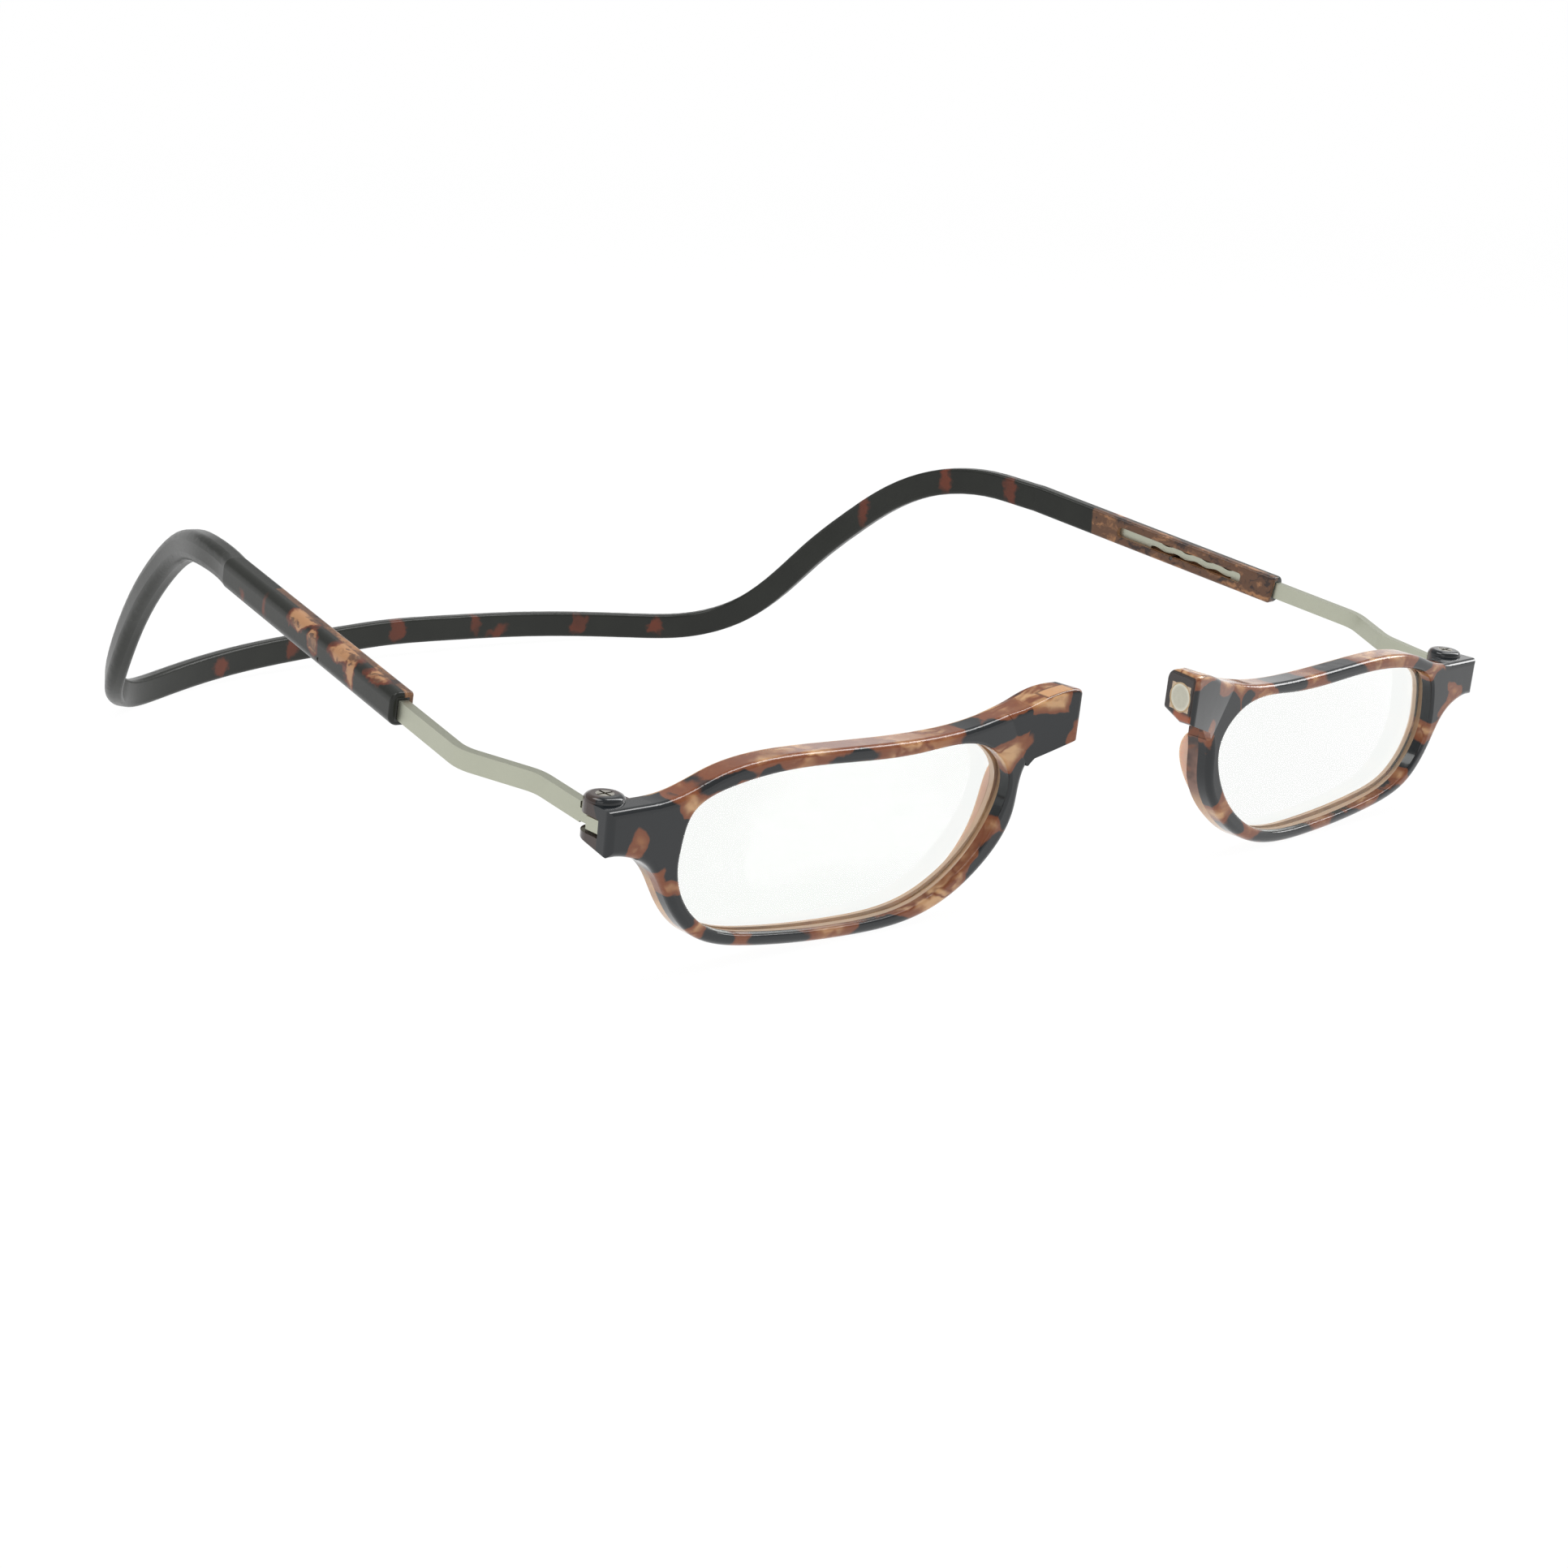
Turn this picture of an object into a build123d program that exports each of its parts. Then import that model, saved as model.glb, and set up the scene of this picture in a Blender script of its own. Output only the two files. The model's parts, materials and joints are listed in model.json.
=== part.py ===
from build123d import *
import os
from math import cos, radians, sin, tan

# Reading glasses whose front parts at the bridge. One flexible headband holds two sliding arms, and each
# arm carries half of the front on a hinge. Lengths are in millimetres.
# Each half is modelled on the left, with its hinge axis at x = 0, y = 0: x runs to the nose, y to the
# back, and z = 0 is the middle of the lens. The right half is its mirror image.
#
# The part that takes the most skill is the adjustable temple. The flat tail of each arm is cut to a wavy
# strip between two shoulders, a cross pin through the temple stands between the shoulders and stops them,
# a plug guides the bar at the mouth, and a window on the inner side shows the tail.

# Stance of the two halves: the gap at the bridge in millimetres, the rest in degrees
bridge_half_gap = 8.6
left_front_open = 1.0
right_front_open = 3.0
stand_pitch = 4.0

# Lens and rim
lens_width = 49.2
lens_height = 19.5
lens_from_hinge = 7.7
rim_side = 1.9
rim_low = 1.45
rim_top = 1.65
rim_front = 4.0
rim_depth = 3.2
rim_edge_radius = 0.8
opening_edge_radius = 0.4
lug_edge_radius = 0.6
groove_depth = 0.55
groove_width = 0.9
groove_from_front = 1.75
lens_clearance = 0.03
lens_front_radius = 260.0
lens_back_radius = 600.0
lens_thickness = 2.1
lens_front_setback = 0.75

# Bridge lug with its magnet, measured from the nose side and the top of the rim
lug_out = 9.3
lug_length = 13.2
lug_tall = 5.8
lug_below_crest = 2.75
lug_shoulder = 6.0
lug_deep = 0.4
lug_forward = 1.6
lug_end_slant = 12.0
lug_corner_radius = 1.5
lug_root = 1.4
crease_foot_from_end = 6.9
crease_foot_below = 3.0
lug_heel_length = 2.8
lug_heel_rise = 1.25
magnet_diameter = 3.5
magnet_length = 1.8
magnet_from_front = 2.75
magnet_above_foot = 2.8
seat_side = 3.3
seat_depth = 3.6

# End piece with the hinge knuckles
knuckle_radius = 2.25
knuckle_dome = 0.7
knuckle_top = 9.15
end_low = 3.4
end_top = 8.5
end_heel_rise = 1.3
slot_low = 5.15
slot_tall = 2.0
slot_front_wall = 2.05
slot_inner_wall = 2.6

# Hinge screw and hinge bush
screw_head_diameter = 2.0
screw_head_tall = 0.6
screw_diameter = 1.1
screw_end_depth = 0.6
screw_slot_width = 0.3
screw_slot_depth = 0.3
bush_wall = 0.35
bush_flange_tall = 0.15
hinge_clearance = 0.03
hinge_play = 0.05

# Arm, with its tongue in the hinge slot, a jog outward and the way to the mouth of the temple
eye_radius = 1.75
tongue_tall = 1.45
tongue_out = 2.05
tongue_back = 0.25
arm_tall = 2.3
arm_thickness = 1.15
arm_rise = 6.2
arm_toe_in = 6.8
arm_offset = 0.4
arm_jog_start = 10.4
arm_jog_length = 8.0
arm_bend_radius = 5.0
arm_shoulder = 2.6
mouth_out = 3.0
mouth_back = 32.1

# Wavy tail inside the temple and the stop pin, measured from the mouth of the temple
tail_start = 7.5
tail_strip = 0.9
tail_wave = 0.15
tail_pitch = 3.65
tail_waves = 4
tail_head = 6.0
pin_from_mouth = 17.8
pin_diameter = 0.6
pin_clearance = 0.07
pin_recess = 0.1

# Headband: the hollow temples, the bows behind the ears and the nape
strap_tall = 4.0
strap_thickness = 2.9
nape_thickness = 2.5
strap_inner_radius = 0.5
strap_outer_radius = 1.2
mouth_edge_radius = 0.45
temple_run = 44.0
band_reach = 145.3
band_drop = 17.7
channel_clearance = 0.05
channel_spare = 12.0
window_start = 5.5
window_length = 22.5
window_tall = 1.5
window_corner_radius = 0.5
guide_wall = 0.2
guide_depth = 3.0

# Nose pad
pad_thickness = 1.2
pad_proud = 1.8
pad_root = 0.35
pad_low = 9.0
pad_high = 5.8

cut_overrun = 1.0

# Outline of the lens opening, from its middle, in halves of the lens width and height
lens_outline_shares = [
    (-1.0, 0.267), (-0.963, -0.267), (-0.825, -0.636), (-0.52, -0.872), (0.05, -1.0), (0.496, -0.913),
    (0.793, -0.513), (0.963, 0.02), (0.996, 0.472), (0.89, 0.81), (0.394, 0.954), (-0.175, 1.0),
    (-0.744, 0.923), (-0.947, 0.697),
]
lower_rim_shares = lens_outline_shares[1:5] + [(0.51, -0.92), (0.83, -0.51), (0.985, 0.02)]
upper_rim_shares = [lens_outline_shares[12], lens_outline_shares[11], lens_outline_shares[10]]
nose_side_shares = lens_outline_shares[3:10]

# Top of the lug: along its length, and up from the crest of the rim to the top of the end face
lug_top_shares = [(-0.2, -0.04), (0.2, 0.26), (0.43, 0.51), (0.68, 0.9), (0.85, 1.06), (1.0, 1.0)]
lug_end_slope_share = 0.3
lug_foot_slope_share = 0.35
crease_lean_share = 0.56

# Side view of the nose pad: how far back it stands, and where between its foot and its top
pad_side_shares = [(0.0, 0.0), (0.4, 0.3), (0.86, 0.58), (1.0, 0.76), (0.6, 0.94), (0.0, 1.0)]

# Route of the headband: shares of the half span, of the way from the straight temple to the nape, and of
# the drop
band_route_shares = [
    (0.949, 0.121, 0.842), (0.922, 0.236, 0.785), (0.893, 0.358, 0.565), (0.872, 0.473, 0.215),
    (0.846, 0.588, -0.226), (0.813, 0.694, -0.689), (0.742, 0.802, -1.006), (0.628, 0.881, -1.079),
    (0.481, 0.942, -1.062), (0.254, 0.987, -1.028),
]
band_sections_per_half = 14
end_pull_share = 0.5

lens_middle = lens_from_hinge + lens_width / 2
rim_back = rim_front - rim_depth
rim_crest = lens_height / 2 + rim_top
lug_reach = lens_from_hinge + lens_width + lug_out
lug_start = lug_reach - lug_length
hinge_half_span = lug_reach + bridge_half_gap
lug_low = rim_crest - lug_below_crest
lug_top = lug_low + lug_tall
tongue_low = slot_low + slot_tall - hinge_play - bush_flange_tall - tongue_tall
tongue_high = tongue_low + tongue_tall
tongue_middle = tongue_low + tongue_tall / 2
screw_end = slot_low - screw_end_depth
bush_radius = screw_diameter / 2 + hinge_clearance + bush_wall
tail_end = tail_start + tail_waves * tail_pitch
pin_below_middle = tail_strip / 2 + tail_wave + pin_clearance + pin_diameter / 2
channel_tall = arm_tall + 2 * channel_clearance
channel_thickness = arm_thickness + 2 * channel_clearance
channel_length = tail_end + tail_head + channel_spare

on_foot = (Align.CENTER, Align.CENTER, Align.MIN)
under_top = (Align.CENTER, Align.CENTER, Align.MAX)


def temple_direction():
    """Unit vector along the temple, from its mouth to the back."""
    level_share = cos(radians(arm_rise))
    toe = radians(arm_toe_in)
    return Vector(sin(toe) * level_share, cos(toe) * level_share, sin(radians(arm_rise)))


# The arm lies in one tilted plane, and the mouth of the temple is in it too
temple_out = Vector(-cos(radians(arm_toe_in)), sin(radians(arm_toe_in)), 0)
arm_plane = Plane((0, 0, tongue_middle), x_dir=-temple_out, z_dir=temple_direction().cross(temple_out))
mouth_level = mouth_back * cos(radians(arm_toe_in)) - mouth_out * sin(radians(arm_toe_in))
mouth = Vector(-mouth_out, mouth_back, tongue_middle + mouth_level * tan(radians(arm_rise)))
temple_plane = Plane(mouth, x_dir=temple_out, z_dir=temple_direction())
side_plane = Plane(mouth, x_dir=temple_direction(), z_dir=-temple_out)


def outline_points(shares, side, up, low):
    """Points of the lens outline, grown outward by the given margins."""
    points = []
    for x_share, z_share in shares:
        half_tall = lens_height / 2 + (up if z_share > 0 else low)
        points.append((lens_middle + x_share * (lens_width / 2 + side), z_share * half_tall))
    return points


def facing(points):
    """Places the points of a front view on the hinge plane."""
    return [Vector(x, 0, z) for x, z in points]


def slab(face, front, back):
    """Extrudes a front view between two depths, given as distances in front of the hinge axis."""
    return Pos(0, -back, 0) * extrude(face, amount=front - back, dir=(0, -1, 0))


def round_bar(radius, low, high):
    """A cylinder round the hinge axis, between two heights."""
    return Pos(0, 0, low) * Cylinder(radius, high - low, align=on_foot)


def lens_face(growth):
    points = outline_points(lens_outline_shares, growth, growth, growth)
    return make_face(Spline(*facing(points), periodic=True))


def rim_face():
    """Front view of the whole half: end piece, rim and bridge lug in one outline."""
    end_inner = lens_from_hinge / 2
    nose_side = lens_from_hinge + lens_width + rim_side
    upper = outline_points(upper_rim_shares, rim_side, rim_top, rim_low)
    lower = outline_points(lower_rim_shares, rim_side, rim_top, rim_low)
    lug = [(lug_start + x_share * lug_length, rim_crest + z_share * (lug_top - rim_crest))
           for x_share, z_share in lug_top_shares]
    top = facing([(-knuckle_radius, end_top), (end_inner, end_top), *upper, *lug])
    foot = lug_low - (lug_reach - nose_side - lug_root) * lug_foot_slope_share
    bottom = facing([(lug_reach, lug_low), (nose_side + lug_root, foot),
                     (nose_side + lug_root / 3, foot - lug_root), *reversed(lower),
                     (end_inner, end_low - rim_side), (end_inner / 3, end_low - rim_low / 3),
                     (-knuckle_radius, end_low)])
    upper_edge = Spline(*top[1:], tangents=[(1, 0, 0), (1, 0, -lug_end_slope_share)])
    return make_face([Line(top[0], top[1]), upper_edge, Line(top[-1], bottom[0]),
                      Line(bottom[0], bottom[1]), Spline(*bottom[1:]), Line(bottom[-1], top[0])])


def rim_plate(face):
    """The even front plate, with its outer front edges rounded."""
    plate = slab(face, rim_front, rim_back)
    front_edges = plate.edges().filter_by_position(Axis.Y, -rim_front, -rim_front)
    return fillet(front_edges, rim_edge_radius)


def lug_rear_round():
    """What is cut from the rear top corner of the lug to round it."""
    radius = lug_corner_radius
    crown = rim_crest + max(z_share for x_share, z_share in lug_top_shares) * (lug_top - rim_crest)
    place = Pos(lug_reach + cut_overrun, lug_deep - rim_back - radius, crown - radius)
    side = radius + cut_overrun
    corner = Box(lug_length, side, side, align=(Align.MAX, Align.MIN, Align.MIN))
    return place * (corner - Rot(0, 90, 0) * Cylinder(radius, 2 * lug_length))


def lug_front(face):
    """The front of the lug, ruled from a leaning crease to the upright front edge of the end face."""
    high = lug_top + cut_overrun
    low = lug_low - crease_foot_below
    crease_high = lug_reach - crease_foot_from_end - (high - low) * crease_lean_share
    at_crease = Polyline((crease_high, -rim_front, high), (lug_reach - crease_foot_from_end, -rim_front, low),
                         (lug_reach - crease_foot_from_end, -rim_back, low), (crease_high, -rim_back, high),
                         close=True)
    front = -rim_front - lug_forward
    at_end = Polyline((lug_reach, front, high), (lug_reach, front, low), (lug_reach, -rim_back, low),
                      (lug_reach, -rim_back, high), close=True)
    wedge = loft([make_face(at_crease), make_face(at_end)], ruled=True)
    return slab(face, rim_front + 2 * lug_forward, rim_back) & wedge


def lug_back(face):
    """The lug grows thicker to the back along a shoulder. Its lower rear edge is cut to a slope."""
    back = lug_deep - rim_back
    plan = Polyline((lug_start, -rim_front), (lug_start, -rim_back), (lug_start + lug_shoulder, back),
                    (lug_reach + cut_overrun, back), (lug_reach + cut_overrun, -rim_front), close=True)
    block = slab(face, (rim_front + rim_back) / 2, -back)
    block &= Pos(0, 0, -rim_crest) * extrude(make_face(plan), amount=2 * rim_crest + lug_tall)
    heel = Polyline((lug_reach, back - lug_heel_length, lug_low), (lug_reach, back, lug_low + lug_heel_rise),
                    (lug_reach, back + cut_overrun, lug_low - cut_overrun),
                    (lug_reach, back - lug_heel_length, lug_low - cut_overrun), close=True)
    slope = Vector(-1, 0, -lug_foot_slope_share).normalized()
    heel_cut = extrude(make_face(heel), amount=lug_out - rim_side + cut_overrun, dir=slope)
    return block, Pos(-cut_overrun * slope.X, 0, -cut_overrun * slope.Z) * heel_cut


def end_plane():
    """The end face of the lug at the magnet's height. The halves meet there, so it faces a little back."""
    slant = radians(lug_end_slant)
    return Plane((lug_reach, -rim_front - lug_forward, lug_low + magnet_above_foot),
                 x_dir=(-sin(slant), cos(slant), 0), z_dir=(cos(slant), sin(slant), 0))


def end_piece():
    """A square corner in front and a round barrel with a domed top behind it."""
    size = (knuckle_radius + slot_inner_wall, rim_front, end_top - end_low)
    block = Pos(-knuckle_radius, -rim_front, end_low) * Box(*size, align=Align.MIN)
    front_edges = block.edges().filter_by_position(Axis.Y, -rim_front, -rim_front)
    block = fillet(front_edges.sort_by(Axis.X)[:-1], rim_edge_radius)
    barrel = round_bar(knuckle_radius, end_low, knuckle_top)
    barrel = fillet(barrel.edges().sort_by(Axis.Z)[-1], knuckle_dome)
    return block + barrel


def end_heel():
    """The wedge that is cut from under the end piece, so that it rises to the back."""
    side = -knuckle_radius
    heel = Polyline((side, -rim_front, end_low), (side, knuckle_radius, end_low + end_heel_rise),
                    (side, knuckle_radius, -end_low), (side, -rim_front, -end_low), close=True)
    slope = Vector(knuckle_radius + lens_from_hinge / 6, 0, -rim_low / 3).normalized()
    start = Pos(-cut_overrun * slope.X, 0, -cut_overrun * slope.Z)
    return start * extrude(make_face(heel), amount=2 * knuckle_radius + cut_overrun, dir=slope)


def tongue_slot():
    """The slot between the knuckles, open to the outer side and to the back."""
    width = slot_inner_wall + 2 * knuckle_radius
    depth = slot_front_wall + 2 * knuckle_radius
    corner = (slot_inner_wall - width, -slot_front_wall, slot_low)
    return Pos(*corner) * Box(width, depth, slot_tall, align=Align.MIN)


def bridge_magnet():
    disc = Cylinder(magnet_diameter / 2, magnet_length, align=under_top)
    return end_plane() * Pos(magnet_from_front, 0, 0) * disc


def seat_box():
    """The square pocket round the magnet runs along the lug and ends in the end face."""
    middle = (end_plane() * Pos(magnet_from_front, 0, 0)).position
    block = Pos(*middle) * Box(2 * seat_depth, seat_side, seat_side)
    return split(block, bisect_by=end_plane(), keep=Keep.BOTTOM)


def magnet_seat():
    return seat_box() - bridge_magnet()


def rounded_edges(body):
    """The front edge of the lens opening, the top front edge of the lug and its end are rounded."""
    front_edges = body.edges().filter_by_position(Axis.Y, -rim_front, -rim_front)
    opening_edge = front_edges.sort_by_distance((lens_middle, -rim_front, 0))[0]
    body = fillet(opening_edge, opening_edge_radius)
    end_face = body.faces().sort_by_distance(end_plane().origin + (0, rim_front, 0))[0]
    upright, *round_end = end_face.edges().sort_by(Axis.Y)[:5]
    crown_corner = upright.vertices().sort_by(Axis.Z)[-1]
    top_front = body.edges().sort_by_distance(crown_corner)[:3].sort_by(Axis.X)[0]
    return fillet([top_front, upright, *round_end], lug_edge_radius)


def rim():
    face = rim_face()
    back_block, heel_cut = lug_back(face)
    body = rim_plate(face) + lug_front(face) + back_block + end_piece()
    body -= lug_rear_round()
    body -= heel_cut
    body = split(body, bisect_by=end_plane(), keep=Keep.BOTTOM)
    body -= end_heel()
    body -= slab(lens_face(0), rim_front + cut_overrun, rim_back - lug_deep - cut_overrun)
    body = rounded_edges(body)
    groove_front = rim_front - groove_from_front + lens_clearance
    body -= slab(lens_face(groove_depth + lens_clearance), groove_front,
                 groove_front - groove_width - 2 * lens_clearance)
    body -= tongue_slot()
    body -= round_bar(screw_diameter / 2, screw_end, knuckle_top)
    body -= round_bar(screw_head_diameter / 2, knuckle_top - screw_head_tall, knuckle_top + cut_overrun)
    body -= seat_box()
    body -= bridge_magnet()
    return body - nose_pad()


def lens():
    """A weak reading lens: convex front, flatter back, and a bevel that sits in the groove."""
    front = rim_front - lens_front_setback
    body = slab(lens_face(-lens_clearance), rim_front, -lug_deep)
    body &= Pos(lens_middle, lens_front_radius - front, 0) * Sphere(lens_front_radius)
    body -= Pos(lens_middle, lens_back_radius - front + lens_thickness, 0) * Sphere(lens_back_radius)
    groove_front = rim_front - groove_from_front
    return body + slab(lens_face(groove_depth), groove_front, groove_front - groove_width)


def nose_pad():
    """A fin along the nose side of the rim. Its root sits in the back of the rim."""
    outer = facing(outline_points(nose_side_shares, rim_side, rim_top, rim_low))
    inner_side, inner_low = rim_side - pad_thickness, rim_low - pad_thickness
    inner = facing(outline_points(nose_side_shares, inner_side, rim_top, inner_low))
    front_view = make_face([Spline(*outer), Line(outer[-1], inner[-1]), Spline(*reversed(inner)),
                            Line(inner[0], outer[0])])
    fin = slab(front_view, rim_back + cut_overrun, rim_back - pad_proud - cut_overrun)
    edge = [Vector(lens_middle, y_share * pad_proud - rim_back, z_share * (pad_low + pad_high) - pad_low)
            for y_share, z_share in pad_side_shares]
    root_low = edge[0] - Vector(0, pad_root, 0)
    root_high = edge[-1] - Vector(0, pad_root, 0)
    side_view = make_face([Spline(*edge), Line(edge[-1], root_high), Line(root_high, root_low),
                           Line(root_low, edge[0])])
    return fin & extrude(side_view, amount=lens_width, dir=(1, 0, 0))


def hinge_screw():
    """Countersunk flush with the top knuckle, with a cross in its head."""
    head_low = knuckle_top - screw_head_tall
    screw = round_bar(screw_diameter / 2, screw_end, head_low)
    screw += round_bar(screw_head_diameter / 2, head_low, knuckle_top)
    cross = Box(screw_head_diameter, screw_slot_width, screw_slot_depth, align=under_top)
    cross += Rot(0, 0, 90) * cross
    return screw - Pos(0, 0, knuckle_top) * cross


def hinge_bush():
    """A sleeve in the eye of the arm, with a flange under the top knuckle."""
    flange_top = tongue_high + bush_flange_tall
    bush = round_bar(bush_radius, tongue_low, tongue_high) + round_bar(eye_radius, tongue_high, flange_top)
    return bush - round_bar(screw_diameter / 2 + hinge_clearance, tongue_low, flange_top)


def arm_bar():
    """The bar: straight from the hinge, a jog outward, then along the temple to the end of the tail."""
    rise_share = tan(radians(arm_rise))
    start = arm_plane.to_local_coords(Vector(-arm_offset, 0, tongue_middle))
    knee = arm_plane.to_local_coords(
        Vector(-arm_offset, arm_jog_start, tongue_middle + arm_jog_start * rise_share))
    inside = arm_plane.to_local_coords(mouth)
    corner = (inside.X, inside.Y - mouth_back + arm_jog_start + arm_jog_length)
    end = (inside.X, inside.Y + tail_end + tail_head)
    route = FilletPolyline((start.X, start.Y), (knee.X, knee.Y), corner, end, radius=arm_bend_radius)
    return arm_plane * extrude(trace(route, line_width=arm_thickness), amount=arm_tall / 2, both=True)


def tail_cut(side):
    """What is cut from one side of the tail, between the shoulders. A side is 1 above and -1 below."""
    strip_edge = side * tail_strip / 2
    outer = side * (arm_tall / 2 + cut_overrun)
    points = [(tail_start, strip_edge)]
    for k in range(2 * tail_waves):
        crest = tail_wave if k % 2 else -tail_wave
        points.append((tail_start + (k + 0.5) * tail_pitch / 2, strip_edge + crest))
        points.append((tail_start + (k + 1) * tail_pitch / 2, strip_edge))
    face = make_face([Spline(*points), Line(points[-1], (tail_end, outer)),
                      Line((tail_end, outer), (tail_start, outer)), Line((tail_start, outer), points[0])])
    return side_plane * extrude(face, amount=arm_thickness, both=True)


def temple_arm():
    """The bar thins to a tongue with an eye at the hinge. Its square tip stops the front in the slot."""
    room = Box(4 * knuckle_radius, arm_shoulder + knuckle_radius, arm_tall)
    room_back = (arm_shoulder - knuckle_radius) / 2
    bar = arm_bar() - Pos(0, room_back, tongue_low - arm_tall / 2) * room
    bar -= Pos(0, room_back, tongue_high + arm_tall / 2) * room
    for side in (-1, 1):
        bar -= tail_cut(side)
    tip_size = (tongue_out, eye_radius + tongue_back, tongue_tall)
    tip = Pos(-tongue_out, -eye_radius, tongue_low) * Box(*tip_size, align=Align.MIN)
    neck_corner = (-arm_offset - arm_thickness / 2, 0, tongue_low)
    neck = Pos(*neck_corner) * Box(arm_thickness, arm_shoulder, tongue_tall, align=Align.MIN)
    eye = round_bar(eye_radius, tongue_low, tongue_high)
    return bar + neck + tip + eye - round_bar(bush_radius, tongue_low, tongue_high)


def guide_outline():
    return Rectangle(channel_thickness + 2 * guide_wall, channel_tall + 2 * guide_wall)


def guide_bush():
    """Dark plug in the mouth of the temple, with a slot for the bar."""
    plug = guide_outline() - Rectangle(channel_thickness, channel_tall)
    return temple_plane * extrude(plug, amount=guide_depth)


def pin_bar(length):
    place = temple_plane * Pos(0, -pin_below_middle, pin_from_mouth) * Rot(0, 90, 0)
    return place * Cylinder(pin_diameter / 2, length)


def stop_pin():
    return pin_bar(strap_thickness - 2 * pin_recess)


def strap_section(plane, thickness):
    """Flat inside, rounded outside. Its x points away from the head."""
    section = Rectangle(thickness, strap_tall)
    section = fillet(section.vertices().sort_by(Axis.X)[:2], strap_inner_radius)
    section = fillet(section.vertices().sort_by(Axis.X)[-2:], strap_outer_radius)
    return plane * section


def hollow_temple():
    """A straight run of the strap with the arm's channel, the plug's recess, the window and the pin hole."""
    temple = extrude(strap_section(temple_plane, strap_thickness), amount=temple_run)
    temple = fillet(temple.faces().sort_by(Axis.Y)[0].edges(), mouth_edge_radius)
    temple -= temple_plane * extrude(guide_outline(), amount=guide_depth)
    temple -= temple_plane * extrude(Rectangle(channel_thickness, channel_tall), amount=channel_length)
    window = Box(strap_thickness, window_tall, window_length, align=on_foot)
    window = fillet(window.edges().filter_by(Axis.X), window_corner_radius)
    temple -= temple_plane * Pos(-strap_thickness / 2, 0, window_start) * window
    return temple - pin_bar(2 * strap_thickness)


def band_planes():
    """Section planes along the left half of the band, from the end of the straight temple to the nape."""
    temple_end = mouth + temple_direction() * temple_run
    back_run = band_reach - temple_end.Y
    points = [Vector(temple_end.X - hinge_half_span, temple_end.Y, temple_end.Z)]
    for x_share, y_share, z_share in band_route_shares:
        back = temple_end.Y + y_share * back_run
        points.append(Vector(-x_share * hinge_half_span, back, z_share * band_drop))
    points.append(Vector(0, band_reach, -band_drop))
    route = Spline(*points, tangents=[temple_direction(), (1, 0, 0)], tangent_scalars=[end_pull_share] * 2)
    planes = []
    for k in range(band_sections_per_half + 1):
        along = route.tangent_at(k / band_sections_per_half)
        outward = Vector(0, 0, 1).cross(along).normalized()
        planes.append(Plane(route.position_at(k / band_sections_per_half), x_dir=outward, z_dir=along))
    return planes


def mirrored_plane(plane):
    """The same section on the right half, where the band runs on from the nape to the temple."""
    place, outward, along = plane.origin, plane.x_dir, plane.z_dir
    return Plane((-place.X, place.Y, place.Z), x_dir=(-outward.X, outward.Y, outward.Z),
                 z_dir=(along.X, -along.Y, -along.Z))


def headband():
    """The bows behind the ears and the nape in one sweep, between the two hollow temples."""
    left = band_planes()
    planes = left + [mirrored_plane(plane) for plane in reversed(left[:-1])]
    sections = []
    for k, plane in enumerate(planes):
        nape_share = min(1, 2 - 2 * abs(2 * k / (len(planes) - 1) - 1))
        thickness = strap_thickness + (nape_thickness - strap_thickness) * nape_share
        sections.append(strap_section(plane, thickness))
    temple = Pos(-hinge_half_span, 0, 0) * hollow_temple()
    return loft(sections) + temple + mirror(temple, Plane.YZ)


front_pieces = {"rim": rim(), "lens": lens(), "nose_pad": nose_pad(), "magnet_seat": magnet_seat(),
                "bridge_magnet": bridge_magnet(), "hinge_screw": hinge_screw()}
arm_pieces = {"temple_arm": temple_arm(), "hinge_bush": hinge_bush()}
temple_pieces = {"guide_bush": guide_bush(), "stop_pin": stop_pin()}

pieces = {"headband": headband()}
for side, turn in (("left", -left_front_open), ("right", right_front_open)):
    for group, angle in ((front_pieces, turn), (arm_pieces, 0), (temple_pieces, 0)):
        for name, solid in group.items():
            own = solid if side == "left" else mirror(solid, Plane.YZ)
            place = -hinge_half_span if side == "left" else hinge_half_span
            pieces[f"{side}_{name}"] = Pos(place, 0, 0) * Rot(0, 0, angle) * own

# The glasses stand on the feet of both rims and on the band behind them, so the hinge axes lean back.
# The origin is on the ground, under the middle of the whole.
leaning = {name: Rot(stand_pitch, 0, 0) * solid for name, solid in pieces.items()}
extent = leaning["headband"].bounding_box()
for solid in leaning.values():
    extent = extent.add(solid.bounding_box())
middle = (extent.min + extent.max) / 2
to_ground = Pos(-middle.X, -middle.Y, -extent.min.Z)

os.makedirs("parts", exist_ok=True)
for name, solid in leaning.items():
    export_step(to_ground * solid, f"parts/{name}.step")
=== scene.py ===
# %% [markdown]
# # Magnetic bridge reading glasses
#
# The two halves of the front part at the nose, where a magnet sits in each half, and one flexible
# band holds them round the back of the head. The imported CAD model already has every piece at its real
# size, so this script does three things: it sets up the photograph's view, it gives each piece a
# finish worked out from its position in space, and it adds the small pieces that CAD leaves out.

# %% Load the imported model
import json
import math

import bpy
import numpy as np
from mathutils import Matrix, Vector


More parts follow.
